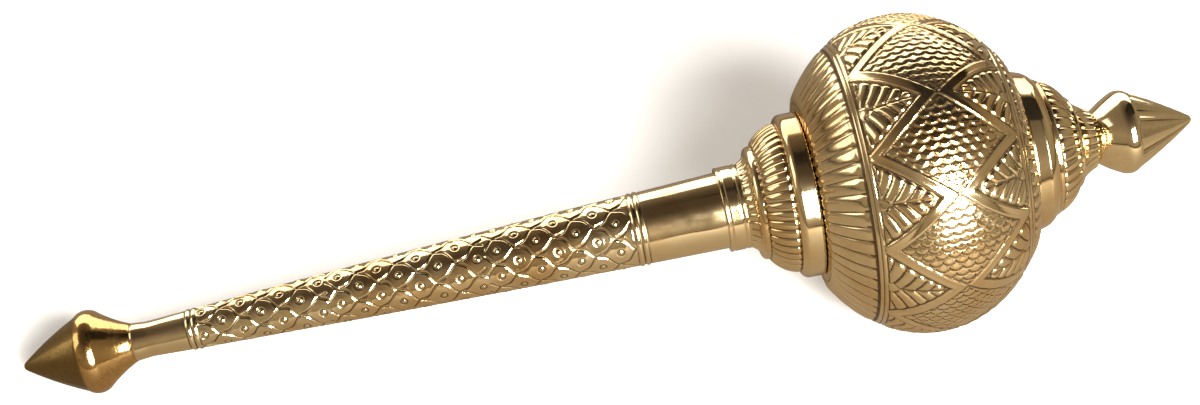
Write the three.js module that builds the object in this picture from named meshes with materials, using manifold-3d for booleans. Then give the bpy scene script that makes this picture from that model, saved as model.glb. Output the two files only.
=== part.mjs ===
// A brass ceremonial mace with a round chased head, lying on its side.
// Millimetres, +Z up. The mace is turned about one axis, local +Y, from the pommel's tip to the finial's tip.
import * as THREE from "three";
import { mergeVertices } from "three/addons/utils/BufferGeometryUtils.js";
import Module from "manifold-3d";

const wasm = await Module();
wasm.setup();

// Driving dimensions. "at" and "length" run along the axis, a radius is from the axis, and angles are
// in degrees. A swell is how far an arc stands off the straight line between its ends, outwards.
const SEAM = 0.3;
const POMMEL = {
  tipLength: 0.9, tipRadius: 1.9,
  coneLength: 30.1, coneSwell: 0.9, ridgeRadius: 19.9,
  rimLength: 9.5, rimSwell: 1.5, shoulderRadius: 20.2,
  flareLength: 16.4, flareSwell: -0.7, neckRadius: 10,
  restDepth: 0.4,
};
const HANDLE = {
  neckLength: 8, neckRadius: 9.8, waistRadius: 9.1,
  length: 317.3, endRadius: 20, swell: 0.9,
  ringHeight: 0.45, ringLength: 2.4, ringPitch: 3.2,
  lowerRingsAt: 30, upperRingsAt: 261.5,
};
const HEAD = { lean: 1.66, leanTowards: 315, trim: 1 };
const COLLAR = { length: 10.4, wall: 1.1, lineLength: 1, lineDepth: 0.35, lineInset: 2 };
const LOWER_CUP = {
  seatRadius: 21.4, coveLength: 5, coveSwell: -0.5, coveRadius: 25.4, coveLobes: 32,
  beadLength: 3.4, beadRise: 1.5, beadSwell: 0.8,
  domeLength: 14.6, domeStartRadius: 29.3, domeRadius: 39, domeSwell: 1.9, domeLobes: 46,
  lipLength: 3.6, lipSwell: 0.8,
  bandLength: 7.8, bandRadius: 42.4,
};
const BALL = {
  radius: 82.5, halfLength: 66.5, seatOffset: 54, seatRadius: 44.5, seatRounding: 1.6,
  restDepth: 0.6,
  tongues: 55, tongueRise: 0.9,
  lowerRingAt: -34, upperRingAt: 44, ringWidth: 3.4, ringRise: 0.5,
};
const LATTICE = {
  repeats: 10, rise: 0.7, footWidth: 0.55,
  meetingAt: 7.2, halfReach: 4.1, lowerFootAt: -28.6, upperFootAt: 41.6,
};
const UPPER_CUP = {
  bandLength: 7.6, bandStartRadius: 42.6, bandEndRadius: 40.4,
  shoulderLength: 6, shoulderRadius: 35, shoulderSwell: 0.7,
  beadLength: 1.6, beadSwell: 0.5,
  domeLength: 12.9, domeRadius: 24, domeSwell: 1.6, domeLobes: 36,
  stepLength: 2, stepSwell: 0.6,
  coveLength: 8.9, coveSwell: -0.7, coveStartRadius: 21.5, coveEndRadius: 15.6, coveLobes: 26,
};
const FINIAL = {
  neckRadius: 12.3,
  flareLength: 13.4, flareSwell: 1, shoulderRadius: 21,
  rimLength: 7.2, rimSwell: 0.9, ridgeRadius: 20.4,
  coneLength: 31.2, coneSwell: 0.6, tipRadius: 1.9, tipLength: 1,
  facets: 12, facetDepth: 0.6,
};
const LOBE_DEPTH = 0.8;
const CUP_SIDES = 36;
const STEM_SIDES = 24;
const BALL_SIDES = 54;

const radians = THREE.MathUtils.degToRad;

// A turned outline as points of radius (x) and distance along the axis (y).
// Each stretch ends at a radius, after a length, and is straight or an arc of `steps` chords.
function outline(startAt, startRadius, stretches) {
  const points = [new THREE.Vector2(startRadius, startAt)];
  for (const { length, radius, swell = 0, steps = 1 } of stretches) {
    const from = points.at(-1);
    const to = new THREE.Vector2(radius, from.y + length);
    const along = to.clone().sub(from);
    const outwards = new THREE.Vector2(along.y, -along.x).normalize();
    for (let step = 1; step <= steps; step++) {
      const share = step / steps;
      const lift = swell * 4 * share * (1 - share);
      points.push(from.clone().addScaledVector(along, share).addScaledVector(outwards, lift));
    }
  }
  return points;
}

// A ring of points round the axis, one column for each angle.
function ring(at, angles, radiusAt) {
  return { at, angles, radii: angles.map(radiusAt) };
}

function evenAngles(count) {
  return Array.from({ length: count }, (_, column) => (360 * column) / count);
}

function plainRings(points, sides) {
  return points.map((point) => ring(point.y, evenAngles(sides), () => point.x));
}

// Rings with two columns to a lobe, a groove and a crest; `depthAt` gives the groove's depth for each point.
function lobedRings(points, lobes, depthAt) {
  return points.map((point, index) =>
    ring(point.y, evenAngles(2 * lobes), (_, column) => {
      const groove = column % 2 === 0;
      return point.x - (groove ? depthAt(index) : 0);
    }),
  );
}

// Lobes that fade out where they begin and keep their full depth up to their last ring.
function fadeIn(index) {
  return index === 0 ? LOBE_DEPTH / 4 : LOBE_DEPTH;
}

// The closed skin over a stack of rings, with a flat cap at each end.
function skin(rings) {
  const positions = [];
  const index = [];
  const starts = rings.map(({ at, angles, radii }) => {
    const start = positions.length / 3;
    angles.forEach((angle, column) => {
      const turn = radians(angle);
      positions.push(radii[column] * Math.sin(turn), at, radii[column] * Math.cos(turn));
    });
    return start;
  });
  const vertex = (level, column) => starts[level] + (column % rings[level].angles.length);
  const angleOf = (level, column) => {
    const { angles } = rings[level];
    return angles[column % angles.length] + 360 * Math.floor(column / angles.length);
  };
  for (let level = 0; level + 1 < rings.length; level++) {
    const below = rings[level].angles.length;
    const above = rings[level + 1].angles.length;
    let i = 0;
    let j = 0;
    while (i < below || j < above) {
      const belowNext = below === above ? i <= j : angleOf(level, i + 1) <= angleOf(level + 1, j + 1);
      if (j >= above || (i < below && belowNext)) {
        index.push(vertex(level, i), vertex(level, i + 1), vertex(level + 1, j));
        i++;
      } else {
        index.push(vertex(level, i), vertex(level + 1, j + 1), vertex(level + 1, j));
        j++;
      }
    }
  }
  const last = rings.length - 1;
  const foot = positions.push(0, rings[0].at, 0) / 3 - 1;
  const head = positions.push(0, rings[last].at, 0) / 3 - 1;
  rings[0].angles.forEach((_, column) => index.push(foot, vertex(0, column + 1), vertex(0, column)));
  rings[last].angles.forEach((_, column) => index.push(head, vertex(last, column), vertex(last, column + 1)));
  const geometry = new THREE.BufferGeometry();
  geometry.setAttribute("position", new THREE.Float32BufferAttribute(positions, 3));
  geometry.setIndex(index);
  return geometry;
}

function solidOf(geometry) {
  const bare = geometry.clone();
  bare.deleteAttribute("normal");
  bare.deleteAttribute("uv");
  const merged = mergeVertices(bare, 1e-4);
  return new wasm.Manifold(
    new wasm.Mesh({
      numProp: 3,
      vertProperties: merged.attributes.position.array,
      triVerts: new Uint32Array(merged.index.array),
    }),
  );
}

function geometryOf(solid) {
  const { vertProperties, triVerts } = solid.getMesh();
  const geometry = new THREE.BufferGeometry();
  geometry.setAttribute("position", new THREE.Float32BufferAttribute(vertProperties, 3));
  geometry.setIndex(new THREE.Uint32BufferAttribute(triVerts, 1));
  return geometry;
}

// The pommel: a rough cone, a rounded rim and a flare that narrows to the handle.
const pommelOutline = outline(0, POMMEL.tipRadius / 3, [
  { length: POMMEL.tipLength, radius: POMMEL.tipRadius },
  { length: POMMEL.coneLength, radius: POMMEL.ridgeRadius, swell: POMMEL.coneSwell, steps: 3 },
  { length: POMMEL.rimLength, radius: POMMEL.shoulderRadius, swell: POMMEL.rimSwell, steps: 6 },
  { length: POMMEL.flareLength, radius: POMMEL.neckRadius, swell: POMMEL.flareSwell, steps: 4 },
]);
const pommelEnd = pommelOutline.at(-1).y;
const pommelRim = pommelOutline.reduce((widest, point) => (point.x > widest.x ? point : widest));

// The handle: a short neck, then a tube that widens towards the head, with two pairs of raised rings.
const handleStart = pommelEnd + SEAM;
const waistAt = handleStart + HANDLE.neckLength;
const handleEnd = handleStart + HANDLE.length;

function handleRadius(at) {
  if (at < waistAt) {
    const share = (at - handleStart) / HANDLE.neckLength;
    return THREE.MathUtils.lerp(HANDLE.neckRadius, HANDLE.waistRadius, share);
  }
  const share = (at - waistAt) / (handleEnd - waistAt);
  const straight = THREE.MathUtils.lerp(HANDLE.waistRadius, HANDLE.endRadius, share);
  return straight + HANDLE.swell * 4 * share * (1 - share);
}

function handleOutline() {
  const stations = [];
  const bodySteps = 6;
  for (let step = 0; step <= bodySteps; step++) {
    stations.push({ at: THREE.MathUtils.lerp(waistAt, handleEnd + HEAD.trim, step / bodySteps), rise: 0 });
  }
  stations.push({ at: handleStart, rise: 0 });
  for (const pairAt of [HANDLE.lowerRingsAt, HANDLE.upperRingsAt]) {
    for (const centre of [pairAt, pairAt + HANDLE.ringPitch]) {
      for (const side of [-0.5, 0, 0.5]) {
        const rise = side === 0 ? HANDLE.ringHeight : 0;
        stations.push({ at: handleStart + centre + side * HANDLE.ringLength, rise });
      }
    }
  }
  stations.sort((a, b) => a.at - b.at);
  return stations.map(({ at, rise }) => new THREE.Vector2(handleRadius(at) + rise, at));
}

// The collar: a thin band slipped over the handle's wide end, with two turned lines.
function collarGeometry() {
  const bore = HANDLE.endRadius + HANDLE.ringHeight + SEAM;
  const outer = bore + COLLAR.wall;
  const start = handleEnd - COLLAR.length;
  const end = handleEnd + HEAD.trim;
  const points = [new THREE.Vector2(bore, start), new THREE.Vector2(outer, start)];
  for (const lineAt of [start + COLLAR.lineInset, handleEnd - COLLAR.lineInset]) {
    for (const side of [-0.5, 0, 0.5]) {
      const depth = side === 0 ? COLLAR.lineDepth : 0;
      points.push(new THREE.Vector2(outer - depth, lineAt + side * COLLAR.lineLength));
    }
  }
  points.push(new THREE.Vector2(outer, end), new THREE.Vector2(bore, end));
  points.push(points[0].clone());
  return new THREE.LatheGeometry(points, STEM_SIDES);
}

// The lower cup: a fluted cove, a bead, a lobed dome, a lip and the smooth band that the ball sits on.
const lowerCupStart = handleEnd + SEAM;

function lowerCupRings() {
  const cove = outline(lowerCupStart, LOWER_CUP.seatRadius, [
    { length: LOWER_CUP.coveLength, radius: LOWER_CUP.coveRadius, swell: LOWER_CUP.coveSwell, steps: 2 },
  ]);
  const bead = outline(cove.at(-1).y, LOWER_CUP.coveRadius + LOWER_CUP.beadRise, [
    { length: LOWER_CUP.beadLength, radius: LOWER_CUP.domeStartRadius, swell: LOWER_CUP.beadSwell, steps: 3 },
  ]);
  const dome = outline(bead.at(-1).y, LOWER_CUP.domeStartRadius, [
    { length: LOWER_CUP.domeLength, radius: LOWER_CUP.domeRadius, swell: LOWER_CUP.domeSwell, steps: 4 },
  ]);
  const band = outline(dome.at(-1).y, LOWER_CUP.domeRadius, [
    { length: LOWER_CUP.lipLength, radius: LOWER_CUP.bandRadius, swell: LOWER_CUP.lipSwell, steps: 3 },
    { length: LOWER_CUP.bandLength, radius: LOWER_CUP.bandRadius },
  ]);
  return [
    ...lobedRings(cove, LOWER_CUP.coveLobes, fadeIn),
    ...plainRings(bead, CUP_SIDES),
    ...lobedRings(dome.slice(1, -1), LOWER_CUP.domeLobes, fadeIn),
    ...plainRings(band, CUP_SIDES),
  ];
}

const lowerCupLength =
  LOWER_CUP.coveLength + LOWER_CUP.beadLength + LOWER_CUP.domeLength +
  LOWER_CUP.lipLength + LOWER_CUP.bandLength;

// The ball: a spheroid with a tongue border at each end, a raised ring inside each border and a lattice
// between the rings. The lattice is two zigzag straps that meet point to point.
const ballStart = lowerCupStart + lowerCupLength + SEAM;
const ballCentre = ballStart + BALL.seatOffset;
const ballEnd = ballCentre + BALL.seatOffset;

function ballRadius(offset) {
  return BALL.radius * Math.sqrt(Math.max(0, 1 - (offset / BALL.halfLength) ** 2));
}

const halfRepeat = 180 / LATTICE.repeats;
const lowerPoint = LATTICE.meetingAt - LATTICE.halfReach;
const upperPoint = LATTICE.meetingAt + LATTICE.halfReach;
const strapHalfAngle = (halfRepeat * LATTICE.halfReach) / (lowerPoint - LATTICE.lowerFootAt);

// The angle from the nearest point of a zigzag to its strap's middle line, at an offset from the
// ball's centre.
function lowerStrapAngle(offset) {
  return (halfRepeat * (lowerPoint - offset)) / (lowerPoint - LATTICE.lowerFootAt);
}

function upperStrapAngle(offset) {
  return (halfRepeat * (offset - upperPoint)) / (LATTICE.upperFootAt - upperPoint);
}

function strapRise(angle, offset) {
  const distance = Math.min(
    Math.abs(angle - lowerStrapAngle(offset)),
    Math.abs(angle - upperStrapAngle(offset)),
  );
  const share = 1 - (distance - strapHalfAngle) / LATTICE.footWidth;
  return LATTICE.rise * THREE.MathUtils.clamp(share, 0, 1);
}

// A half repeat's columns follow the strap's four edges, and two more halve the fields on either side.
function halfColumns(offset) {
  const middle = Math.max(lowerStrapAngle(offset), upperStrapAngle(offset));
  const reach = strapHalfAngle + LATTICE.footWidth;
  const edges = [middle - reach, middle - strapHalfAngle, middle + strapHalfAngle, middle + reach];
  const least = halfRepeat / 120;
  const kept = edges.map((edge, place) =>
    THREE.MathUtils.clamp(edge, least * (place + 2), halfRepeat - least * (edges.length + 1 - place)),
  );
  return [0, kept[0] / 2, ...kept, (kept.at(-1) + halfRepeat) / 2];
}

function latticeRing(offset) {
  const half = halfColumns(offset);
  const columns = [];
  for (let repeat = 0; repeat < LATTICE.repeats; repeat++) {
    const point = 2 * halfRepeat * (repeat + 0.5);
    const before = half.slice(1).reverse().map((turn) => ({ angle: point - turn, turn }));
    const after = half.map((turn) => ({ angle: point + turn, turn }));
    columns.push({ angle: point - halfRepeat, turn: halfRepeat }, ...before, ...after);
  }
  return {
    at: ballCentre + offset,
    angles: columns.map(({ angle }) => angle),
    radii: columns.map(({ turn }) => ballRadius(offset) + strapRise(turn, offset)),
  };
}

function latticeOffsets() {
  const reach = LATTICE.halfReach;
  const between = (from, to, steps) =>
    Array.from({ length: steps - 1 }, (_, step) => THREE.MathUtils.lerp(from, to, (step + 1) / steps));
  const lowerCorner = LATTICE.lowerFootAt + reach;
  const upperCorner = LATTICE.upperFootAt - reach;
  return [
    lowerCorner,
    ...between(lowerCorner, lowerPoint - reach, 3),
    lowerPoint - reach,
    LATTICE.meetingAt,
    upperPoint + reach,
    ...between(upperPoint + reach, upperCorner, 3),
    upperCorner,
  ];
}

function borderRings(offsets, crestRises) {
  return offsets.map((offset, place) =>
    ring(ballCentre + offset, evenAngles(2 * BALL.tongues), (_, column) => {
      const rise = column % 2 === 0 ? 0 : crestRises[place];
      return ballRadius(offset) + rise;
    }),
  );
}

function raisedRing(from) {
  return [from, from + BALL.ringWidth].map((offset) =>
    ring(ballCentre + offset, evenAngles(BALL_SIDES), () => ballRadius(offset) + BALL.ringRise),
  );
}

function ballRings() {
  const { tongueRise } = BALL;
  const seatRing = (at) => ring(at, evenAngles(BALL_SIDES), () => BALL.seatRadius);
  const seatEdge = BALL.seatOffset - BALL.seatRounding;
  const tipGap = 3 * BALL.ringRise;
  const lowerTip = BALL.lowerRingAt - tipGap;
  const lowerBorder = [-seatEdge, THREE.MathUtils.lerp(-seatEdge, lowerTip, 0.5), lowerTip];
  const upperBorder = [BALL.upperRingAt + BALL.ringWidth + tipGap, seatEdge];
  return [
    seatRing(ballStart),
    ...borderRings(lowerBorder, [tongueRise / 3, tongueRise, tongueRise]),
    ...raisedRing(BALL.lowerRingAt),
    ...latticeOffsets().map(latticeRing),
    ...raisedRing(BALL.upperRingAt),
    ...borderRings(upperBorder, [tongueRise, tongueRise / 3]),
    seatRing(ballEnd),
  ];
}

// The upper cup: a band, a rounded shoulder, a bead, a lobed dome, a step and a fluted cove.
const upperCupStart = ballEnd + SEAM;

function upperCupRings() {
  const band = outline(upperCupStart, UPPER_CUP.bandStartRadius, [
    { length: UPPER_CUP.bandLength, radius: UPPER_CUP.bandEndRadius },
    {
      length: UPPER_CUP.shoulderLength, radius: UPPER_CUP.shoulderRadius,
      swell: UPPER_CUP.shoulderSwell, steps: 3,
    },
    { length: UPPER_CUP.beadLength, radius: UPPER_CUP.shoulderRadius, swell: UPPER_CUP.beadSwell, steps: 2 },
  ]);
  const dome = outline(band.at(-1).y, UPPER_CUP.shoulderRadius, [
    { length: UPPER_CUP.domeLength, radius: UPPER_CUP.domeRadius, swell: UPPER_CUP.domeSwell, steps: 4 },
  ]);
  const step = outline(dome.at(-1).y, UPPER_CUP.domeRadius, [
    { length: UPPER_CUP.stepLength, radius: UPPER_CUP.coveStartRadius, swell: UPPER_CUP.stepSwell, steps: 2 },
  ]);
  const cove = outline(step.at(-1).y, UPPER_CUP.coveStartRadius, [
    { length: UPPER_CUP.coveLength, radius: UPPER_CUP.coveEndRadius, swell: UPPER_CUP.coveSwell, steps: 3 },
  ]);
  return [
    ...plainRings(band, CUP_SIDES),
    ...lobedRings(dome.slice(1, -1), UPPER_CUP.domeLobes, fadeIn),
    ...plainRings(step, CUP_SIDES),
    ...lobedRings(cove.slice(1), UPPER_CUP.coveLobes, fadeIn),
  ];
}

// The finial: a flared neck, a rounded rim and a faceted cone.
const upperCupLength =
  UPPER_CUP.bandLength + UPPER_CUP.shoulderLength + UPPER_CUP.beadLength +
  UPPER_CUP.domeLength + UPPER_CUP.stepLength + UPPER_CUP.coveLength;
const finialStart = upperCupStart + upperCupLength + SEAM;

function finialRings() {
  const flare = outline(finialStart, FINIAL.neckRadius, [
    { length: FINIAL.flareLength, radius: FINIAL.shoulderRadius, swell: FINIAL.flareSwell, steps: 4 },
    { length: FINIAL.rimLength, radius: FINIAL.ridgeRadius, swell: FINIAL.rimSwell, steps: 4 },
  ]);
  const cone = outline(flare.at(-1).y, FINIAL.ridgeRadius, [
    { length: FINIAL.coneLength, radius: FINIAL.tipRadius, swell: FINIAL.coneSwell, steps: 3 },
    { length: FINIAL.tipLength, radius: FINIAL.tipRadius / 3 },
  ]);
  const sides = 2 * FINIAL.facets;
  const facetRings = cone.slice(1).map((point) =>
    ring(point.y, evenAngles(sides), (_, column) => {
      const cut = column % 2 === 0 ? 0 : (FINIAL.facetDepth * point.x) / FINIAL.ridgeRadius;
      return point.x - cut;
    }),
  );
  return [...plainRings(flare, sides), ...facetRings];
}

// The head leans a little off the handle's line, turned about the middle of the seam below its lower cup.
const seam = new THREE.Vector3(0, handleEnd + SEAM / 2, 0);
const leanTurn = radians(HEAD.leanTowards);
const leanAxis = new THREE.Vector3(Math.cos(leanTurn), 0, -Math.sin(leanTurn));
const leaning = new THREE.Matrix4().makeRotationAxis(leanAxis, radians(HEAD.lean));
leaning.setPosition(seam.clone().sub(seam.clone().applyMatrix4(leaning)));

// The mace lies with its ball and the pommel's rim on the ground, each on a small flat.
// The local +Z side of the handle faces the ground.
function placingAt(tilt) {
  const along = new THREE.Vector3(Math.cos(tilt), 0, Math.sin(tilt));
  const towardsGround = new THREE.Vector3(Math.sin(tilt), 0, -Math.cos(tilt));
  return new THREE.Matrix4().makeBasis(new THREE.Vector3(0, 1, 0), along, towardsGround);
}

// How far the flat of a round piece lies below the origin of the handle's frame.
function ballDepth(placing) {
  const ballPlacing = placing.clone().multiply(leaning);
  const centre = new THREE.Vector3(0, ballCentre, 0).applyMatrix4(ballPlacing);
  const slope = new THREE.Vector3(0, 1, 0).transformDirection(ballPlacing).z;
  const reach = Math.hypot(BALL.halfLength * slope, BALL.radius * Math.sqrt(1 - slope ** 2));
  return reach - BALL.restDepth - centre.z;
}

function rimDepth(placing) {
  const lowest = new THREE.Vector3(0, pommelRim.y, pommelRim.x).applyMatrix4(placing);
  return -lowest.z - POMMEL.restDepth;
}

function restingTilt() {
  let low = 0;
  let high = Math.PI / 4;
  for (let round = 0; round < 50; round++) {
    const middle = (low + high) / 2;
    const placing = placingAt(middle);
    if (ballDepth(placing) > rimDepth(placing)) low = middle;
    else high = middle;
  }
  return low;
}

const placing = placingAt(restingTilt());
placing.setPosition(0, 0, ballDepth(placing));
const headPlacing = placing.clone().multiply(leaning);

// Cuts away what lies in a box that is far larger than the mace. The box's middle is given in `frame`, and
// the frame in the piece's own.
const cutReach = 2 * finialStart;

function cutByBox(geometry, frame, middle) {
  const box = new THREE.BoxGeometry(2 * cutReach, 2 * cutReach, 2 * cutReach);
  box.translate(middle.x, middle.y, middle.z).applyMatrix4(frame);
  return geometryOf(solidOf(geometry).subtract(solidOf(box)));
}

function cutAtGround(geometry, itsPlacing) {
  return cutByBox(geometry, itsPlacing.clone().invert(), new THREE.Vector3(0, 0, -cutReach));
}

function trimAtHead(geometry) {
  return cutByBox(geometry, leaning, new THREE.Vector3(0, handleEnd + cutReach, 0));
}

const polishedBrass = { color: 0xc9a24a, roughness: 0.22, metalness: 1 };
const castBrass = { color: 0x8a713a, roughness: 0.55, metalness: 1 };

function piece(name, geometry, finish) {
  const mesh = new THREE.Mesh(geometry, new THREE.MeshStandardMaterial(finish));
  geometry.computeVertexNormals();
  mesh.name = name;
  return mesh;
}

const head = new THREE.Group();
head.add(
  piece("lower_cup", skin(lowerCupRings()), polishedBrass),
  piece("ball", cutAtGround(skin(ballRings()), headPlacing), polishedBrass),
  piece("upper_cup", skin(upperCupRings()), polishedBrass),
  piece("finial", skin(finialRings()), castBrass),
);
head.applyMatrix4(leaning);

const mace = new THREE.Group();
mace.add(
  piece("pommel", cutAtGround(skin(plainRings(pommelOutline, STEM_SIDES)), placing), castBrass),
  piece("handle_tube", trimAtHead(skin(plainRings(handleOutline(), STEM_SIDES))), polishedBrass),
  piece("neck_collar", trimAtHead(collarGeometry()), polishedBrass),
  head,
);
mace.applyMatrix4(placing);

// The origin is on the ground, under the middle of the whole length.
const part = new THREE.Group();
part.add(mace);
const middle = new THREE.Box3().setFromObject(part, true).getCenter(new THREE.Vector3());
mace.position.x -= middle.x;
mace.position.y -= middle.y;

export default part;
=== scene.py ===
"""A brass ceremonial mace lying on a pale floor, built round its solid model.

Each piece is turned from an outline about the mace's own axis, then its chased ornament is raised on the
fine mesh. Outlines and ornament are in millimetres along and round that axis.
"""

import math

import bmesh
import bpy
import numpy as np
from mathutils import Matrix, Vector


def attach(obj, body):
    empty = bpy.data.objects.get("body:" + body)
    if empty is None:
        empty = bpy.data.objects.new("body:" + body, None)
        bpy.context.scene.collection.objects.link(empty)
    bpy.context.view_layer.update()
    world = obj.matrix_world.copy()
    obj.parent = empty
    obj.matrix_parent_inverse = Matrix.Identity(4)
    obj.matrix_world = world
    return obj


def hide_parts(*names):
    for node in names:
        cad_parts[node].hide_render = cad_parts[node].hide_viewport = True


bl_info = {
    "name": "Ceremonial mace",
    "version": (1, 0, 0),
    "blender": (4, 5, 0),
    "location": "3D View > Sidebar > Mace",
    "description": "Builds a chased brass mace, its finishes and its studio",
    "category": "Object",
}

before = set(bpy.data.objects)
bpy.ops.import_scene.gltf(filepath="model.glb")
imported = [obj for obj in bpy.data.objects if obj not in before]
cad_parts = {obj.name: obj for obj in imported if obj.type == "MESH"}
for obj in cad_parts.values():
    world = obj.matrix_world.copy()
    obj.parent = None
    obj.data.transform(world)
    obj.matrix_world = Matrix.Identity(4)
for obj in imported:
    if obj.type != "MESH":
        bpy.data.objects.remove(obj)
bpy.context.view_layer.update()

MM = 0.001
SEAM = 0.3
BODY = "root"

# Stations along the axis, in millimetres from the pommel's tip.
POMMEL_END = 56.9
HANDLE_START = POMMEL_END + SEAM
WAIST_AT = HANDLE_START + 8
LOWER_RINGS = (HANDLE_START + 30, HANDLE_START + 33.2)
UPPER_RINGS = (HANDLE_START + 261.5, HANDLE_START + 264.7)
HANDLE_START_RADIUS = 9.8
HANDLE_SWELL = 0.9

# The ball's seats, measured from the ball's middle, and the edge that rolls in to them.
BALL_SEAT = 54
BALL_SEAT_RADIUS = 42.2
BALL_EDGE = 1.6

# The double rings and, between them, the lattice, measured from the ball's middle. Its straps run in
# straight lines from points to feet, and repeat after so many degrees.
LOWER_RING_AT = -34
UPPER_RING_AT = 44
RING_WIDTH = 3.4
LATTICE_START = LOWER_RING_AT + RING_WIDTH
LOWER_POINT = 3.1
UPPER_POINT = 11.3
LOWER_FOOT = -28.6
UPPER_FOOT = 41.6
REPEAT = 36
ROWS_IN_SCALE = 8

# The ball's skin is sunk by this much, so that its straps lie at the solid's surface.
BALL_SUNK = 0.65

# The cups from bottom to top. Each stretch is a length, an end radius and a swell.
LOWER_CUP = [(5, 25.4, -0.5), (3.4, 29.3, 0.8), (14.6, 39, 1.9), (3.6, 42.4, 0.8), (7.8, 42.4, 0)]
UPPER_CUP = [(7.6, 40.4, 0), (6, 35, 0.7), (1.6, 35, 0.5), (12.9, 24, 1.6), (2, 21.5, 0.6),
             (8.9, 15.6, -0.7)]

# Distances between mesh rows on the cups' turned parts and on their plain bands.
CUP_STEP = 0.5
BAND_STEP = 1.3

# Relief stops short of the axis, where a piece has only a hidden end face or a tip.
END_FACE_RADIUS = 5
CAST_TIP_RADIUS = 0.5
# The depth of the castings' facets is given at this radius.
CONE_RADIUS = 20

# The camera's place, in degrees and millimetres, and its focal length.
CAMERA_AZIMUTH = -9.52
CAMERA_ELEVATION = 44.35
CAMERA_DISTANCE = 1055.6
CAMERA_SHIFT = (-5.13, 18.43)
CAMERA_AIM = Vector((0, 0, 60))
FOCAL_LENGTH = 62.02

# The lights and the card face this place at the head, in metres.
LIT_PLACE = Vector((0.12, 0, 0.06))


class MaceBody(bpy.types.PropertyGroup):
    """Sizes of the handle and the way the mace lies."""

    handle_length: bpy.props.FloatProperty(
        name="Handle length", description="Length of the tapered tube",
        default=317.3 * MM, unit="LENGTH", subtype="DISTANCE")
    waist_radius: bpy.props.FloatProperty(
        name="Waist radius", description="Radius of the handle at its thin end",
        default=9.1 * MM, unit="LENGTH", subtype="DISTANCE")
    end_radius: bpy.props.FloatProperty(
        name="End radius", description="Radius of the handle at the head",
        default=20 * MM, unit="LENGTH", subtype="DISTANCE")
    tip: bpy.props.FloatVectorProperty(
        name="Pommel tip", description="Where the pommel's tip lies",
        default=(-301.969 * MM, 1.7995 * MM, 15.6966 * MM), unit="LENGTH", subtype="XYZ")
    tilt: bpy.props.FloatProperty(
        name="Tilt", description="How far the axis rises towards the head",
        default=math.asin(0.146235), unit="ROTATION", subtype="ANGLE")
    lean: bpy.props.FloatProperty(
        name="Lean", description="How far the head stands off the handle's line",
        default=math.radians(1.66), unit="ROTATION", subtype="ANGLE")
    lean_towards: bpy.props.FloatProperty(
        name="Lean towards", description="Angle round the handle that the head leans to",
        default=math.radians(315), unit="ROTATION", subtype="ANGLE")


class MaceHead(bpy.types.PropertyGroup):
    """Sizes of the ball and its ornament."""

    radius: bpy.props.FloatProperty(
        name="Ball radius", description="Largest radius of the ball",
        default=82.5 * MM, unit="LENGTH", subtype="DISTANCE")
    half_length: bpy.props.FloatProperty(
        name="Ball half length", description="Half of the spheroid's axis",
        default=66.5 * MM, unit="LENGTH", subtype="DISTANCE")
    tongues: bpy.props.IntProperty(
        name="Tongues", description="Number of tongues in each border", default=55, min=8)
    strap_width: bpy.props.FloatProperty(
        name="Strap width", description="Width of the lattice straps",
        default=4.9 * MM, unit="LENGTH", subtype="DISTANCE")
    scale_width: bpy.props.FloatProperty(
        name="Scale width", description="Width of one fish scale in the diamonds",
        default=6.4 * MM, unit="LENGTH", subtype="DISTANCE")
    leaf_pitch: bpy.props.FloatProperty(
        name="Leaf pitch", description="Distance between the lobes of a leaf along its rib",
        default=6.3 * MM, unit="LENGTH", subtype="DISTANCE")
    cell_pitch: bpy.props.FloatProperty(
        name="Cell pitch", description="Length of one cell of the handle's ornament",
        default=20.4 * MM, unit="LENGTH", subtype="DISTANCE")


class MaceFinish(bpy.types.PropertyGroup):
    """Colours of the brass and the studio."""

    brass: bpy.props.StringProperty(
        name="Brass", description="Polished brass as an sRGB hex value", default="E1CA9C")
    warm_brass: bpy.props.StringProperty(
        name="Warm brass", description="Brass with a thin warm tarnish", default="C9A063")
    tarnish: bpy.props.StringProperty(
        name="Tarnish", description="Dark tarnish in the chasing", default="38240F")
    cast: bpy.props.StringProperty(
        name="Cast brass", description="Half polished cast brass", default="7C6338")
    cast_dark: bpy.props.StringProperty(
        name="Cast brass pits", description="Oxide in the casting's pits", default="57431F")
    floor: bpy.props.StringProperty(
        name="Floor", description="Pale paper floor", default="EDEBE7")


def millimetres(value):
    """A length in metres as millimetres."""
    return value / MM


def linear(hex_colour):
    """An sRGB hex colour as linear values with full alpha."""
    channels = [int(hex_colour[place:place + 2], 16) / 255 for place in (0, 2, 4)]
    return [c / 12.92 if c <= 0.04045 else ((c + 0.055) / 1.055) ** 2.4 for c in channels] + [1]


# Turning

def outline(start_at, start_radius, stretches, step=0.6):
    """Points (at, radius) along a turned outline. A stretch is a length, an end radius and a swell."""
    points = [(start_at, start_radius)]
    for length, radius, swell in stretches:
        from_at, from_radius = points[-1]
        rise = radius - from_radius
        chord = math.hypot(length, rise)
        steps = max(1, round(chord / step))
        for place in range(1, steps + 1):
            share = place / steps
            lift = swell * 4 * share * (1 - share)
            points.append((from_at + length * share - lift * rise / chord,
                           from_radius + rise * share + lift * length / chord))
    return points


def placing(leaning):
    """The matrix from the lathe's millimetres to the floor's metres."""
    body = bpy.context.scene.mace_body
    c, s = math.cos(body.tilt), math.sin(body.tilt)
    lying = Matrix(((0, c, s, 0), (1, 0, 0, 0), (0, s, -c, 0), (0, 0, 0, 1)))
    matrix = Matrix.Translation(body.tip) @ lying @ Matrix.Scale(MM, 4)
    if leaning:
        turn = body.lean_towards
        axis = Vector((math.cos(turn), 0, -math.sin(turn)))
        pivot = Matrix.Translation((0, handle_end() + SEAM / 2, 0))
        matrix = matrix @ pivot @ Matrix.Rotation(body.lean, 4, axis) @ pivot.inverted()
    return matrix


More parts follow.
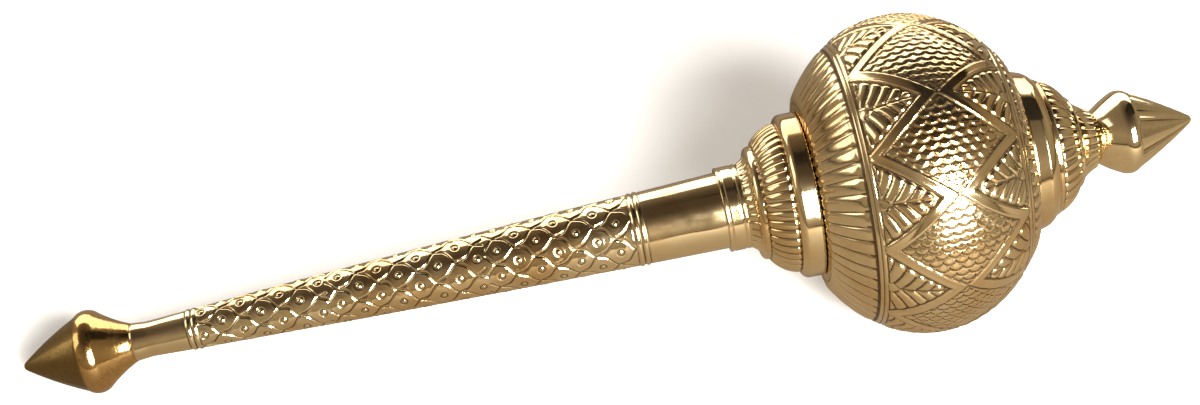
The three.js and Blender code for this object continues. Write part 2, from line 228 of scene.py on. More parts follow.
def hollows(mesh, height):
    """How far each point lies under the mean of its surroundings, where polish never reaches."""
    pairs = np.empty(2 * len(mesh.edges), np.int32)
    mesh.edges.foreach_get("vertices", pairs)
    first, second = pairs[0::2], pairs[1::2]
    count = len(height)
    touching = np.bincount(first, minlength=count) + np.bincount(second, minlength=count)
    around = height
    for _ in range(4):
        total = np.bincount(first, around[second], count) + np.bincount(second, around[first], count)
        around = 0.5 * around + 0.5 * total / np.maximum(touching, 1)
    return around - height


def turned(name, points, columns, relief, finish, leaning=False, plain_within=END_FACE_RADIUS):
    """Spins an outline into a closed piece, raises its relief and puts it in its place."""
    bm = bmesh.new()
    row_layer = bm.verts.layers.int.new("row")
    verts = []
    for row, (at, radius) in enumerate(points):
        vert = bm.verts.new((0, at, radius))
        vert[row_layer] = row
        verts.append(vert)
    edges = [bm.edges.new(pair) for pair in zip(verts, verts[1:])]
    if points[0][1] > 0:
        edges.append(bm.edges.new((verts[-1], verts[0])))
    # A sector is spun and then repeated round the axis, which is many times quicker than one full spin.
    sectors = 10 if columns % 10 == 0 else 8
    bmesh.ops.spin(bm, geom=verts + edges, cent=(0, 0, 0), axis=(0, 1, 0), angle=2 * math.pi / sectors,
                   steps=columns // sectors)
    sector = bpy.data.meshes.new(name + "_sector")
    bm.to_mesh(sector)
    bm.clear()
    for _ in range(sectors):
        bm.from_mesh(sector)
        sector.transform(Matrix.Rotation(2 * math.pi / sectors, 4, "Y"))
    bpy.data.meshes.remove(sector)
    bmesh.ops.remove_doubles(bm, verts=bm.verts, dist=1e-3)
    bmesh.ops.recalc_face_normals(bm, faces=bm.faces)
    mesh = bpy.data.meshes.new(name)
    bm.to_mesh(mesh)
    bm.free()
    mesh.shade_smooth()

    count = len(mesh.vertices)
    places = np.empty(count * 3)
    mesh.vertices.foreach_get("co", places)
    places = places.reshape(-1, 3)
    rows = np.empty(count, np.int32)
    mesh.attributes["row"].data.foreach_get("value", rows)
    turn = np.degrees(np.arctan2(places[:, 0], places[:, 2])) % 360
    radius = np.hypot(places[:, 0], places[:, 2])
    height = relief(turn, places[:, 1], np.maximum(radius, plain_within), rows)
    height = np.where(radius > plain_within, height, 0)
    slope = np.gradient(np.array(points), axis=0)
    slope /= np.maximum(np.hypot(slope[:, 0], slope[:, 1]), 1e-9)[:, None]
    along, outwards = -slope[rows, 1], slope[rows, 0]
    angle = np.radians(turn)
    places[:, 0] += height * outwards * np.sin(angle)
    places[:, 1] += height * along
    places[:, 2] += height * outwards * np.cos(angle)
    matrix = np.array(placing(leaning))
    places = places @ matrix[:3, :3].T + matrix[:3, 3]
    places[:, 2] = np.maximum(places[:, 2], 0)
    mesh.vertices.foreach_set("co", places.ravel())
    mesh.attributes.remove(mesh.attributes["row"])
    chased = mesh.attributes.new("chased", "FLOAT", "POINT")
    chased.data.foreach_set("value", hollows(mesh, height).astype(np.float32))
    mesh.update()

    piece = bpy.data.objects.new(name, mesh)
    bpy.context.scene.collection.objects.link(piece)
    mesh.materials.append(finish)
    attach(piece, BODY)
    return piece


# Chasing: heights in millimetres over the outline

def smooth(low, high, value):
    """A soft step from 0 at low to 1 at high."""
    share = np.clip((value - low) / (high - low), 0, 1)
    return share * share * (3 - 2 * share)


def ridge(distance, half_width):
    """A rounded ridge, 1 high on its line."""
    return np.exp(-(distance / half_width) ** 2)


def puffed(distance, width):
    """A rounded shoulder that rises from an edge over a width."""
    share = np.clip(distance / width, 0, 1)
    return np.sqrt(1 - (1 - share) ** 2)


def hand_beaten(turn, at, depth):
    """Slow, shallow unevenness left by the hammer, which makes the reflections wander."""
    angle = np.radians(turn)
    waves = (np.sin(3 * angle + 0.051 * at) + np.sin(5 * angle - 0.083 * at + 1.3)
             + 0.7 * np.sin(9 * angle + 0.17 * at + 0.4) + 0.5 * np.sin(14 * angle - 0.23 * at + 2.1)
             + 0.6 * np.sin(0.31 * at + 2 * np.sin(angle)))
    return depth * waves / 3


def lobed(turn, radius, lobes):
    """How far a point is from the groove between two lobes, and its place across the lobe."""
    across = np.abs((turn * lobes / 360) % 1 - 0.5) * 2
    half_width = np.pi * radius / lobes
    return (1 - across) * half_width, across, half_width


def gadroons(turn, radius, lobes, depth, to_tip, from_foot=None):
    """Swelling lobes with rounded tips, sunk to the given depth in the grooves between them."""
    to_groove, across, half_width = lobed(turn, radius, lobes)
    bow = half_width * (1 - np.sqrt(np.maximum(0, 1 - across ** 2)))
    inside = np.minimum(to_groove, to_tip - bow)
    if from_foot is not None:
        inside = np.minimum(inside, from_foot - bow)
    return depth * (puffed(inside, 0.85 * half_width) - 1)


def handle_end():
    return HANDLE_START + millimetres(bpy.context.scene.mace_body.handle_length)


def handle_radius(at):
    body = bpy.context.scene.mace_body
    waist, end = millimetres(body.waist_radius), millimetres(body.end_radius)
    if at < WAIST_AT:
        share = (at - HANDLE_START) / (WAIST_AT - HANDLE_START)
        return HANDLE_START_RADIUS + (waist - HANDLE_START_RADIUS) * share
    share = (at - WAIST_AT) / (handle_end() - WAIST_AT)
    return waist + (end - waist) * share + HANDLE_SWELL * 4 * share * (1 - share)


def ogee_cells(turn, at, radius):
    """Rows of pointed cells that interlock, each with a ring punched in its middle."""
    pitch = millimetres(bpy.context.scene.mace_head.cell_pitch)
    start = LOWER_RINGS[1] + 3
    along = (at - start) / pitch
    rows_round = np.where(along < 3.25, 10, np.where(along < 7.25, 12, 14))
    wander = 0.07 * np.sin(np.radians(turn) * 2 + along * 2.3) + 0.05 * np.sin(along * 5.1 + 1)
    across = turn * rows_round / 360 + wander
    row = np.floor(across)
    odd = row % 2
    place = along + 0.5 * odd + 0.04 * np.sin(np.radians(turn) * 3 + 0.7)
    skewed = place + 0.05 * (np.cos(4 * np.pi * place) - 1)
    tent = 1 - np.abs(2 * (skewed % 1) - 1)
    edge = 0.3 * np.sin(np.pi * skewed) ** 2 + 0.7 * tent
    arc = 2 * np.pi * radius / rows_round
    steepness = (1.4 + 0.3 * np.pi * np.abs(np.sin(2 * np.pi * skewed))) * arc / pitch
    to_line = (across - row - edge) * arc / np.sqrt(1 + steepness ** 2)
    height = -0.45 * ridge(to_line, 0.4) + 0.24 * ridge(np.abs(to_line) - 0.95, 0.42)
    height += 0.45 * (puffed(np.abs(to_line), 3.6) - 1)
    for neighbour in (0, 1):
        own_row = row + neighbour
        own_place = along + 0.5 * (own_row % 2)
        step = (own_place - 0.56 + 0.5) % 1 - 0.5
        to_dot = np.hypot(step * pitch, (across - own_row) * arc)
        height += 0.4 * ridge(to_dot, 0.9)
        height += 0.16 * ridge(to_dot - 2.5, 0.4) - 0.42 * ridge(to_dot - 1.7, 0.45)
    return height


def handle_relief(turn, at, radius):
    """The cells between the two pairs of turned rings, and the rings."""
    field = smooth(LOWER_RINGS[1] + 1.4, LOWER_RINGS[1] + 2.6, at)
    field *= 1 - smooth(UPPER_RINGS[0] - 2.6, UPPER_RINGS[0] - 1.4, at)
    height = field * ogee_cells(turn, at, radius) + hand_beaten(turn, at, 0.07)
    for centre in (*LOWER_RINGS, *UPPER_RINGS):
        height += 0.5 * np.sqrt(np.maximum(0, 1 - ((at - centre) / 1.15) ** 2))
        height -= 0.22 * ridge(np.abs(at - centre) - 1.45, 0.3)
    return height


def ball_radius(offset):
    head = bpy.context.scene.mace_head
    share = offset / millimetres(head.half_length)
    return millimetres(head.radius) * math.sqrt(max(0, 1 - share * share))


def ball_slope(offset):
    """Length of surface for each millimetre along the axis."""
    head = bpy.context.scene.mace_head
    half, radius = millimetres(head.half_length), millimetres(head.radius)
    fall = radius * offset / half ** 2 / np.sqrt(np.maximum(1e-6, 1 - (offset / half) ** 2))
    return np.sqrt(1 + fall ** 2)


def fish_scales(along, around, width):
    """Overlapping round scales whose free ends point round the ball."""
    reach = width / 2
    step = 1.22 * reach
    row = np.floor(around / step)

    def from_scale(own_row):
        return (along / width + 0.5 * (own_row % 2)) % 1 * width - reach

    past = around - row * step
    to_rim = np.hypot(from_scale(row), past) - reach
    over = 0.1 + 0.2 * ridge(to_rim + 0.3, 0.6) + 0.16 * np.clip(1 + to_rim / reach, 0, 1)
    under = 0.1 - 0.42 * ridge(to_rim - 0.55, 0.6)
    return over + (under - over) * smooth(-0.2, 0.45, to_rim)


def leaf_fan(along, across, to_strap, pitch):
    """Lobes on both sides of a rib that springs from the middle of the field's foot."""
    side = np.abs(across)
    place = along - 0.95 * side + 0.021 * side ** 2 + 0.4
    share = np.abs((place / pitch) % 1 - 0.5) * 2
    lean = 0.95 - 0.042 * side
    half = 0.5 * pitch / np.sqrt(1 + lean ** 2)
    bow = 2.4 * (1 - np.sqrt(np.maximum(0, 1 - share ** 2)))
    inside = np.minimum((1 - share) * half - 0.15, to_strap - 0.2 - bow)
    inside = np.minimum(inside, np.minimum(side - 0.2, along - 0.6))
    lobes = 1.3 * puffed(np.maximum(inside, 0), 2) - 0.5
    stem = np.hypot(across, 0.8 * (along - 1.5))
    bud = 0.9 * puffed(3.2 - stem, 1.6) - 0.5
    return np.where(stem < 3.2, bud, lobes)


def lattice_relief(turn, offset, radius, rows):
    """Crossing straps, with fish scales in the diamonds and leaf lobes in the triangles."""
    head = bpy.context.scene.mace_head
    slope = ball_slope(offset)
    degree = np.pi * radius / 180
    signed = turn % REPEAT - REPEAT / 2
    side = np.abs(signed)
    half = REPEAT / 2

    def past_strap(from_point, length):
        """How far a place lies outside the line from a strap's point to its foot."""
        rate = half / length
        return (side - rate * from_point) * degree / np.sqrt(1 + (rate * degree / slope) ** 2)

    from_lower = past_strap(LOWER_POINT - offset, LOWER_POINT - LOWER_FOOT)
    from_upper = past_strap(offset - UPPER_POINT, UPPER_FOOT - UPPER_POINT)

    beside = np.minimum(np.abs(from_lower), np.abs(from_upper))
    strap = millimetres(head.strap_width) / 2
    height = 0.42 * (1 - smooth(strap - 0.45, strap + 0.35, beside))
    height += 0.34 * ridge(beside - (strap - 0.35), 0.42)
    height -= 0.3 * ridge(beside - (strap + 0.75), 0.5)

    around = ((turn + half) % REPEAT - half) * degree
    width = millimetres(head.scale_width)
    scales = fish_scales(rows * width / ROWS_IN_SCALE, around + 60, width)
    in_diamond = (from_lower > 0) & (from_upper > 0)

    def leaf(from_ring, from_line):
        along = from_ring * (slope + 1) / 2
        return leaf_fan(along, signed * degree, -from_line - strap - 0.9, millimetres(head.leaf_pitch))

    from_lower_ring, from_upper_ring = offset - LATTICE_START, UPPER_RING_AT - offset
    leaves = np.where(from_lower <= 0, leaf(from_lower_ring, from_lower), leaf(from_upper_ring, from_upper))
    height += np.where(in_diamond, scales, leaves) * smooth(strap + 0.5, strap + 1.1, beside)
    return height * smooth(0, 0.8, np.minimum(from_lower_ring, from_upper_ring))


def border_relief(turn, offset, radius):
    """Tongues between each cup and its ring, and the double rings themselves."""
    tongues = bpy.context.scene.mace_head.tongues
    slope = ball_slope(offset)
    wander = 0.35 * np.sin(np.radians(turn) * 7) + 0.25 * np.sin(np.radians(turn) * 16 + 1)
    end = np.where(offset > LOWER_POINT, 1, -1)
    across_ring = (offset - np.where(end > 0, UPPER_RING_AT, LOWER_RING_AT) - RING_WIDTH / 2) * slope
    outside = np.abs(across_ring) - RING_WIDTH / 2 * slope
    height = 0.55 * (1 - smooth(-0.5, 0.3, outside))
    height -= 0.42 * ridge(across_ring, 0.5)
    height -= 0.22 * ridge(outside - 0.6, 0.45)
    to_tip = np.where(np.sign(across_ring) == end, outside, -1) - 0.7
    tongue = 0.95 * (1 + gadroons(turn + wander, radius, tongues, 1, to_tip)) - 0.12
    height += np.where(to_tip > 0, tongue, 0)
    return height - 0.6 * smooth(BALL_SEAT - 1.1, BALL_SEAT - 0.3, np.abs(offset))


def ball_relief(turn, at, radius, rows, middle):
    """The lattice between the rings and the borders outside them, sunk below the outline."""
    offset = at - middle
    in_lattice = (offset > LATTICE_START) & (offset < UPPER_RING_AT)
    lattice = lattice_relief(turn, offset, radius, rows)
    height = np.where(in_lattice, lattice, border_relief(turn, offset, radius))
    return height + hand_beaten(turn, at, 0.1) - BALL_SUNK


def lower_cup_relief(turn, at, radius, stations):
    """Flutes in the cove and round-ended lobes on the dome."""
    cove_start, bead_start, dome_start, lip_start = stations
    dome = (at > dome_start) & (at < lip_start)
    lobes = gadroons(turn, radius, 46, 0.95, (lip_start - at) * 1.2 - 0.2, (at - dome_start) * 1.2)
    cove = (at > cove_start) & (at < bead_start)
    flutes = -0.8 * (1 - puffed(lobed(turn, radius, 32)[0], 1.8)) * smooth(0, 1.5, at - cove_start)
    # The cove and bead lie a hair lower than the lip.
    lower = 0.005 * (smooth(0, 0.6, at - lip_start) - 1)
    return np.where(dome, lobes, lower) + np.where(cove, flutes, 0) + hand_beaten(turn, at, 0.06)


def upper_cup_relief(turn, at, radius, stations):
    """Round-ended lobes on the dome and flutes in the cove."""
    dome_start, step_start, cove_start = stations
    dome = (at > dome_start) & (at < step_start)
    lobes = gadroons(turn, radius, 36, 0.9, (step_start - at) * 1.2, (at - dome_start) * 1.2)
    cove = at > cove_start
    flutes = -0.8 * (1 - puffed(lobed(turn, radius, 26)[0], 1.6)) * smooth(0, 1.2, at - cove_start)
    return np.where(dome, lobes, 0) + np.where(cove, flutes, 0) + hand_beaten(turn, at, 0.06)


def facets(turn, at, radius, cone, count, depth):
    """Facets from tip to rim with raised edges between them, deepest where the cone is widest."""
    first, last = cone
    on_cone = smooth(first - 0.5, first + 1, at) * (1 - smooth(last - 1, last + 0.5, at))
    across = np.abs((turn * count / 360) % 1 - 0.5) * 2
    return on_cone * depth * (across ** 2 - 1) * radius / CONE_RADIUS + hand_beaten(turn, at, 0.05)


# Finishes

def add(tree, kind, inputs=(), **settings):
    """Adds a node, sets its settings, and sets or links its inputs."""
    made = tree.nodes.new(kind)
    for name, value in settings.items():
        setattr(made, name, value)
    for name, value in dict(inputs).items():
        if isinstance(value, bpy.types.NodeSocket):
            tree.links.new(value, made.inputs[name])
        else:
            made.inputs[name].default_value = value
    return made


def blank(name):
    """A new material with an empty node tree."""
    finish = bpy.data.materials.new(name)
    finish.use_nodes = True
    finish.node_tree.nodes.clear()
    return finish, finish.node_tree


def blend(tree, factor, first, second):
    """Mixes two colours and gives the mixed colour's socket."""
    inputs = {"Factor": factor, 6: first, 7: second}
    return add(tree, "ShaderNodeMix", inputs, data_type="RGBA").outputs[2]


def spread(tree, value, low, high, to_low, to_high):
    """Maps a value's range onto another, held at both ends."""
    inputs = {"Value": value, "From Min": low, "From Max": high, "To Min": to_low, "To Max": to_high}
    return add(tree, "ShaderNodeMapRange", inputs).outputs["Result"]


def metal_skin(tree, colour, dulled, gloss, height, strength, distance):
    """A metal surface, rougher where it is dulled, with a fine bump."""
    rough = add(tree, "ShaderNodeMath", {0: dulled, 1: 0.3, 2: gloss}, operation="MULTIPLY_ADD")
    bump = add(tree, "ShaderNodeBump", {"Height": height, "Strength": strength, "Distance": distance})
    shader = add(tree, "ShaderNodeBsdfPrincipled", {
        "Base Color": colour, "Roughness": rough.outputs[0], "Metallic": 1,
        "Normal": bump.outputs["Normal"]})
    add(tree, "ShaderNodeOutputMaterial", {"Surface": shader.outputs[0]})


def polished_brass(name, brass, warm, tarnish, roughness, streaks):
    """Sheet brass, hammered, chased and buffed: bright crests, brown wax and oxide left in the grooves,
    and fine hairlines from the buffing wheel that blur the highlights a little."""
    finish, tree = blank(name)
    place = add(tree, "ShaderNodeTexCoord").outputs["Object"]
    # Patches of thin tarnish, about 45 mm across.
    patches = add(tree, "ShaderNodeTexNoise", {"Vector": place, "Scale": 22, "Detail": 4, "Roughness": 0.6})
    warmth = spread(tree, patches.outputs["Fac"], 0.42, 0.68, 0, 0.8)
    metal = blend(tree, warmth, linear(brass), linear(warm))
    # The chased attribute is how far a point lies in a groove, in millimetres.
    depth = add(tree, "ShaderNodeAttribute", attribute_name="chased")
    sunk = spread(tree, depth.outputs["Fac"], 0.025, 0.13, 0, 0.85)
    colour = blend(tree, sunk, metal, linear(tarnish))
    # Buffing hairlines are far under a millimetre wide; drawn about 0.7 mm wide so that they show.
    lines_at = add(tree, "ShaderNodeMapping", {"Vector": place, "Scale": streaks})
    lines = add(tree, "ShaderNodeTexNoise", {"Vector": lines_at.outputs["Vector"], "Scale": 1,
                                             "Detail": 3, "Roughness": 0.65})
    smears = add(tree, "ShaderNodeTexNoise", {"Vector": place, "Scale": 90, "Detail": 3})
    gloss = spread(tree, smears.outputs["Fac"], 0.3, 0.75, roughness, roughness + 0.09)
    metal_skin(tree, colour, sunk, gloss, lines.outputs["Fac"], 0.3, 0.04 * MM)
    return finish


def cast_brass(name, light, dark, roughness, pits, buffed=None, buffed_past=0):
    """Cast brass, filed and half polished: a satin olive-brown skin with pits of oxide.
    Past a length from the pommel's tip it is buffed like the tube, and mirrors the room in clear edges."""
    finish, tree = blank(name)
    place = add(tree, "ShaderNodeTexCoord").outputs["Object"]
    body = bpy.context.scene.mace_body
    axis = Vector((math.cos(body.tilt), 0, math.sin(body.tilt)))
    rim = axis.dot(body.tip) + buffed_past * MM
    along = add(tree, "ShaderNodeVectorMath", {0: place, 1: axis}, operation="DOT_PRODUCT").outputs["Value"]
    polish = spread(tree, along, rim - 0.4 * MM, rim + 0.4 * MM, 0, 1)
    skin = blend(tree, polish, linear(light), linear(buffed or light))
    gloss = spread(tree, polish, 0, 1, roughness, 0.09 if buffed else roughness)
    # Casting pits are about 1 mm across, in loose groups about 12 mm across.
    grains = add(tree, "ShaderNodeTexNoise", {"Vector": place, "Scale": 700, "Detail": 3, "Roughness": 0.7})
    groups = add(tree, "ShaderNodeTexNoise", {"Vector": place, "Scale": 85, "Detail": 4, "Roughness": 0.6})
    speckle = add(tree, "ShaderNodeMath", {0: grains.outputs["Fac"], 1: groups.outputs["Fac"]},
                  operation="MULTIPLY")
    stained = spread(tree, speckle.outputs[0], 0.22, 0.4, 0, pits)
    colour = blend(tree, stained, skin, linear(dark))
    metal_skin(tree, colour, stained, gloss, speckle.outputs[0], 0.5, 0.25 * MM * pits)
    return finish


def finish_named(name):
    """Makes a finish the first time that it is asked for."""
    found = bpy.data.materials.get(name)
    if found:
        return found
    colours = bpy.context.scene.mace_finish
    sheet_colours = (colours.brass, colours.warm_brass, colours.tarnish)
    if name == "chased_sheet_brass":
        return polished_brass(name, *sheet_colours, 0.1, (1400, 300, 300))
    if name == "turned_tube_brass":
        return polished_brass(name, *sheet_colours, 0.07, (1500, 160, 160))
    if name == "satin_cast_brass":
        return cast_brass(name, colours.cast, colours.cast_dark, 0.3, 0.6, colours.warm_brass, 31.8)
    return cast_brass(name, colours.brass, colours.cast_dark, 0.07, 0.15)


# Pieces

class MACE_OT_ball(bpy.types.Operator):
    """Builds the ball: two tongue borders with their rings, and the lattice between them"""

    bl_idname = "mace.ball"
    bl_label = "Build the ball"

    def execute(self, context):
        middle = ball_middle()
        rise = millimetres(context.scene.mace_head.scale_width) / ROWS_IN_SCALE

        def turn_in(side):
            """The edge that rolls in from the last tongues to the cup."""
            shares = (0, 0.12, 0.3, 0.5, 0.75)
            widening = ball_radius(BALL_SEAT - BALL_EDGE) - BALL_SEAT_RADIUS
            return [(middle + side * (BALL_SEAT + 0.1 - 1.7 * share ** 2.4),
                     BALL_SEAT_RADIUS + widening * share) for share in shares]

        # Mesh rows lie closest at the rings and widest at the tongues.
        skin = []
        offset = BALL_EDGE - BALL_SEAT
        while offset < BALL_SEAT - BALL_EDGE - 0.2:
            skin.append((middle + offset, ball_radius(offset)))
            from_ring = min(abs(offset - LOWER_RING_AT - 1.5), abs(offset - UPPER_RING_AT - 2))
            between_rings = LATTICE_START < offset < UPPER_RING_AT
            step = 0.62 if from_ring < 2.6 else rise if between_rings else 2.3
            offset += step / float(ball_slope(offset))
        skin.append((middle + BALL_SEAT - BALL_EDGE, ball_radius(BALL_SEAT - BALL_EDGE)))
        points = [*turn_in(-1), *skin, *reversed(turn_in(1))]
        points = [(points[0][0], 0), *points, (points[-1][0], 0)]
        ball = turned("ball_chased", points, 660,
                      lambda turn, at, radius, rows: ball_relief(turn, at, radius, rows, middle),
                      leaning=True, finish=finish_named("chased_sheet_brass"))
        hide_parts("ball")
        return {"FINISHED"}


def lower_cup_start():
    return handle_end() + SEAM


def ball_middle():
    return lower_cup_start() + sum(stretch[0] for stretch in LOWER_CUP) + SEAM + BALL_SEAT


def upper_cup_start():
    return ball_middle() + BALL_SEAT + SEAM


def finial_start():
    return upper_cup_start() + sum(stretch[0] for stretch in UPPER_CUP) + SEAM


class MACE_OT_cups(bpy.types.Operator):
    """Builds the fluted cups below and above the ball"""

    bl_idname = "mace.cups"
    bl_label = "Build the cups"

    def execute(self, context):
        start = lower_cup_start()
        cove, bead, dome, lip, band = LOWER_CUP
        foot = outline(start, 21.4, [cove], CUP_STEP)
        ring = outline(foot[-1][0], 26.9, [bead], CUP_STEP)
        bowl = outline(ring[-1][0], bead[1], [dome], CUP_STEP)
        rim = outline(bowl[-1][0] + 0.05, dome[1], [lip], CUP_STEP)
        belt = outline(rim[-1][0] + 0.05, lip[1], [(band[0] - 0.5, *band[1:])], BAND_STEP)
        points = [(start - 0.15, 0), (start - 0.15, 21.2), *foot, *ring, *bowl[1:], *rim, *belt]
        end = ball_middle() - BALL_SEAT
        points += [(end - 0.15, 42.2), (end, 41.6), (end, 0)]
        stations = (start, foot[-1][0], ring[-1][0], bowl[-1][0])
        lower = turned("lower_cup_fluted", points, 460,
                       lambda turn, at, radius, rows: lower_cup_relief(turn, at, radius, stations),
                       leaning=True, finish=finish_named("turned_tube_brass"))
        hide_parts("lower_cup")

        start = upper_cup_start()
        band, shoulder, bead, dome, step, cove = UPPER_CUP
        belt = outline(start, 42.6, [band], BAND_STEP)
        turn_in = outline(belt[-1][0] + 0.05, band[1], [shoulder, bead], CUP_STEP)
        bowl = outline(turn_in[-1][0], bead[1], [dome], CUP_STEP)
        ledge = outline(bowl[-1][0], dome[1], [step], CUP_STEP)
        neck = outline(ledge[-1][0], step[1], [cove], CUP_STEP)
        points = [(start - 0.3, 0), (start - 0.3, 42), (start - 0.15, 42.4), *belt, *turn_in, *bowl[1:],
                  *ledge[1:], *neck[1:]]
        points += [(neck[-1][0] + 0.15, 15.2), (neck[-1][0] + 0.15, 0)]
        stations = (turn_in[-1][0], bowl[-1][0], ledge[-1][0])
        upper = turned("upper_cup_fluted", points, 432,
                       lambda turn, at, radius, rows: upper_cup_relief(turn, at, radius, stations),
                       leaning=True, finish=finish_named("turned_tube_brass"))
        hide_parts("upper_cup")
        return {"FINISHED"}


class MACE_OT_handle(bpy.types.Operator):
    """Builds the chased handle tube and the collar at its wide end"""

    bl_idname = "mace.handle"
    bl_label = "Build the handle"

    def execute(self, context):
        end = handle_end()
        stations = []
        at = HANDLE_START
        while at < end:
            stations.append(at)
            chased = LOWER_RINGS[0] - 3 < at < UPPER_RINGS[1] + 3
            at += 0.55 if chased else 1.6
        points = [(HANDLE_START - 0.15, 0), (HANDLE_START - 0.15, 9.6)]
        points += [(at, handle_radius(at)) for at in stations]
        points += [(end, handle_radius(end)), (end + 0.1, 0)]
        handle = turned("handle_chased_tube", points, 192,
                        lambda turn, at, radius, rows: handle_relief(turn, at, radius),
                        finish=finish_named("turned_tube_brass"))
        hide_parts("handle_tube")

        # The collar has a sunk turned line near each edge.
        start = end - 10.4
        inner, outer = 20.25, 21.85
        rows = [(start, inner), (start, outer - 0.25), (start + 0.25, outer)]
        for line_at in (start + 2, end - 2):
            rows += [(line_at - 0.55, outer), (line_at - 0.2, outer - 0.35)]
            rows += [(line_at + 0.2, outer - 0.35), (line_at + 0.55, outer)]
        rows += [(end + 0.2, outer), (end + 0.4, outer - 0.2), (end + 0.4, inner)]
        smooth_rows = []
        for here, there in zip(rows, rows[1:]):
            steps = max(1, round(math.dist(here, there) / 0.6))
            smooth_rows += [tuple(a + (b - a) * k / steps for a, b in zip(here, there)) for k in range(steps)]
        smooth_rows.append(rows[-1])
        collar = turned("neck_collar_band", smooth_rows, 160,
                        lambda turn, at, radius, rows: hand_beaten(turn, at, 0.05),
                        finish=finish_named("turned_tube_brass"))
        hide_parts("neck_collar")
        return {"FINISHED"}


class MACE_OT_ends(bpy.types.Operator):
    """Builds the pommel and the finial"""

    bl_idname = "mace.ends"
    bl_label = "Build the pommel and finial"

    def execute(self, context):
        cone = outline(0, 0, [(0.9, 1.9, 0.15), (30.1, 19.9, 0.9)], 0.9)
        rim = outline(cone[-1][0], 19.9, [(9.5, 20.2, 1.5)], 0.6)
        flare = outline(rim[-1][0], 20.2, [(16.4, 10, -0.7)], 0.8)
        points = [*cone, *rim[1:], *flare[1:], (flare[-1][0] + 0.15, 9.8), (flare[-1][0] + 0.15, 0)]
        pommel = turned("pommel_casting", points, 144,
                        lambda turn, at, radius, rows: facets(turn, at, radius, (1, 31), 9, 0.35),
                        finish=finish_named("satin_cast_brass"), plain_within=CAST_TIP_RADIUS)
        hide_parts("pommel")

        start = finial_start()
        flare = outline(start, 12.3, [(13.4, 21, 0.5), (7.2, 20.6, 0.9)], 0.6)
        cone = outline(flare[-1][0], 20.4, [(31.2, 1.9, 0.6), (1, 0, 0.15)], 0.9)
        points = [(start - 0.15, 0), (start - 0.15, 12), *flare, *cone[1:]]
        cone_stations = (flare[-1][0], flare[-1][0] + 31)
        finial = turned("finial_casting", points, 144,
                        lambda turn, at, radius, rows: facets(turn, at, radius, cone_stations, 12, 1.7),
                        leaning=True, finish=finish_named("bright_cast_brass"),
                        plain_within=CAST_TIP_RADIUS)
        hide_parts("finial")
        return {"FINISHED"}


# Studio

def sheet(name, half_width, finish):
    """A flat square, linked into the scene."""
    bm = bmesh.new()
    bmesh.ops.create_grid(bm, x_segments=1, y_segments=1, size=half_width)
    mesh = bpy.data.meshes.new(name)
    bm.to_mesh(mesh)
    bm.free()
    mesh.materials.append(finish)
    piece = bpy.data.objects.new(name, mesh)
    bpy.context.scene.collection.objects.link(piece)
    return piece


def facing_mace(away):
    """The matrix of something that stands away from the head and faces it."""
    place = LIT_PLACE + Vector(away)
    turned_to = (LIT_PLACE - place).to_track_quat("-Z", "Y")
    return Matrix.Translation(place) @ turned_to.to_matrix().to_4x4()


def softbox(name, away, width, height, power):
    """A rectangular lamp that stands away from the head and faces it."""
    light = bpy.data.lights.new(name, "AREA")
    light.shape = "RECTANGLE"
    light.size, light.size_y = width, height
    light.energy = power
    lamp = bpy.data.objects.new(name, light)
    lamp.matrix_world = facing_mace(away)
    bpy.context.scene.collection.objects.link(lamp)


def paper_floor():
    """Paper that is shown pale, but mirrored in the brass as the duller room floor round it."""
    finish, tree = blank("pale_paper")
    seen = add(tree, "ShaderNodeLightPath").outputs["Is Camera Ray"]
    paper = blend(tree, seen, linear("6C6254"), linear(bpy.context.scene.mace_finish.floor))
    shader = add(tree, "ShaderNodeBsdfPrincipled", {"Base Color": paper, "Roughness": 0.85})
    add(tree, "ShaderNodeOutputMaterial", {"Surface": shader.outputs[0]})
    floor = sheet("floor", 6, finish)


def overhead_card():
    """A dark card over the head that only the brass mirrors."""
    finish, tree = blank("dark_card")
    shader = add(tree, "ShaderNodeBsdfPrincipled", {"Base Color": linear("0A0705"), "Roughness": 1})
    add(tree, "ShaderNodeOutputMaterial", {"Surface": shader.outputs[0]})
    card = sheet("overhead_card", 0.5, finish)
    card.data.transform(facing_mace((0.58, 0.3, 1.3)) @ Matrix.Diagonal((0.8, 1.75, 1, 1)))
    card.visible_camera = False
    card.visible_shadow = False
    card.visible_diffuse = False


def photo_camera():
    """A camera where the photo's camera was."""
    azimuth, elevation = math.radians(CAMERA_AZIMUTH), math.radians(CAMERA_ELEVATION)
    forward = Vector((-math.sin(azimuth) * math.cos(elevation),
                      math.cos(azimuth) * math.cos(elevation), -math.sin(elevation)))
    right = Vector((math.cos(azimuth), math.sin(azimuth), 0))
    up = right.cross(forward)
    camera = bpy.data.cameras.new("camera")
    camera.sensor_width = 36
    camera.lens = FOCAL_LENGTH
    camera.clip_start = 0.05
    stand = bpy.data.objects.new("camera", camera)
    place = CAMERA_AIM + CAMERA_SHIFT[0] * right + CAMERA_SHIFT[1] * up - CAMERA_DISTANCE * forward
    turned_to = Matrix((right, up, -forward)).transposed()
    stand.matrix_world = Matrix.Translation(place * MM) @ turned_to.to_4x4()
    bpy.context.scene.collection.objects.link(stand)
    bpy.context.scene.camera = stand


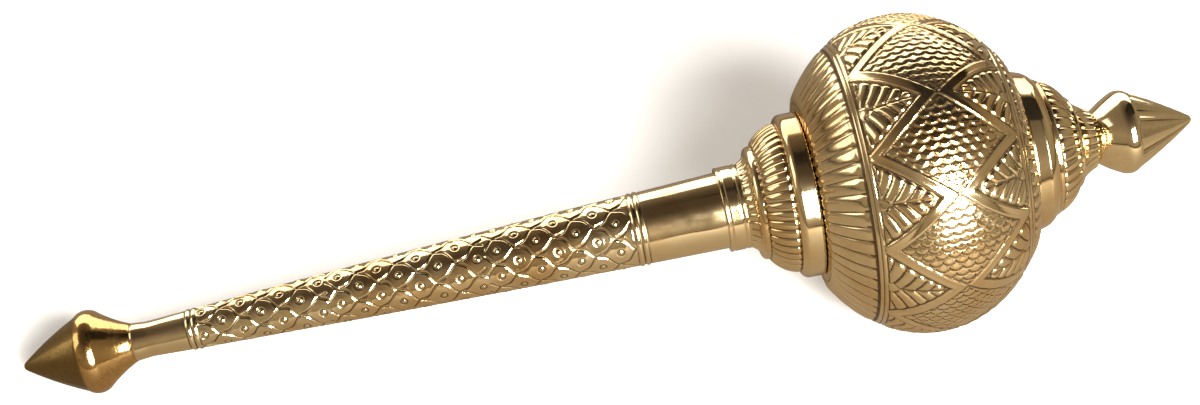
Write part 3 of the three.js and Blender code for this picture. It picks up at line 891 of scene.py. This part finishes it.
def room():
    """A warm room with a dark ceiling, which the metal mirrors; the backdrop itself is pale."""
    world = bpy.data.worlds.new("room")
    world.use_nodes = True
    tree = world.node_tree
    direction = add(tree, "ShaderNodeTexCoord").outputs["Generated"]
    height = add(tree, "ShaderNodeSeparateXYZ", {"Vector": direction}).outputs["Z"]
    walls = add(tree, "ShaderNodeValToRGB", {"Fac": height})
    for place, colour in ((0.0, "9E917D"), (0.35, "AEA18C"), (0.72, "8A7E72"), (0.95, "544A40")):
        stop = walls.color_ramp.elements.new(place)
        stop.color = linear(colour)
    walls.color_ramp.elements.remove(walls.color_ramp.elements[-1])
    seen = add(tree, "ShaderNodeLightPath").outputs["Is Camera Ray"]
    shown = blend(tree, seen, walls.outputs["Color"], linear("E4E2DF"))
    tree.links.new(shown, tree.nodes["Background"].inputs["Color"])
    bpy.context.scene.world = world


class MACE_OT_studio(bpy.types.Operator):
    """Lays the pale floor and sets the camera, the soft lights, the dark card and the room"""

    bl_idname = "mace.studio"
    bl_label = "Set the studio"

    def execute(self, context):
        paper_floor()
        photo_camera()
        softbox("window", (0.47, -1.5, 0.98), 0.92, 1.1, 165)
        softbox("back_panel", (0.0, 2.4, 1.05), 4.8, 1.8, 78)
        softbox("left_panel", (-2.3, 0.3, 1.0), 1.2, 1.5, 12)
        overhead_card()
        room()
        context.scene.view_settings.view_transform = "Standard"
        return {"FINISHED"}


class MACE_PT_panel(bpy.types.Panel):
    """Lists the steps that build the mace"""

    bl_idname = "MACE_PT_panel"
    bl_label = "Mace"
    bl_space_type = "VIEW_3D"
    bl_region_type = "UI"
    bl_category = "Mace"

    def draw(self, context):
        for group in (context.scene.mace_body, context.scene.mace_head, context.scene.mace_finish):
            for name in group.__annotations__:
                self.layout.prop(group, name)
        for operator in OPERATORS:
            self.layout.operator(operator.bl_idname)


OPERATORS = (MACE_OT_ball, MACE_OT_cups, MACE_OT_handle, MACE_OT_ends, MACE_OT_studio)
GROUPS = {"mace_body": MaceBody, "mace_head": MaceHead, "mace_finish": MaceFinish}


def register():
    for group in GROUPS.values():
        bpy.utils.register_class(group)
    for operator in OPERATORS:
        bpy.utils.register_class(operator)
    bpy.utils.register_class(MACE_PT_panel)
    for name, group in GROUPS.items():
        setattr(bpy.types.Scene, name, bpy.props.PointerProperty(type=group))


def unregister():
    for name in GROUPS:
        delattr(bpy.types.Scene, name)
    bpy.utils.unregister_class(MACE_PT_panel)
    for operator in reversed(OPERATORS):
        bpy.utils.unregister_class(operator)
    for group in reversed(GROUPS.values()):
        bpy.utils.unregister_class(group)


def main():
    register()
    bpy.ops.mace.ball()
    bpy.ops.mace.cups()
    bpy.ops.mace.handle()
    bpy.ops.mace.ends()
    bpy.ops.mace.studio()


if __name__ == "__main__":
    main()
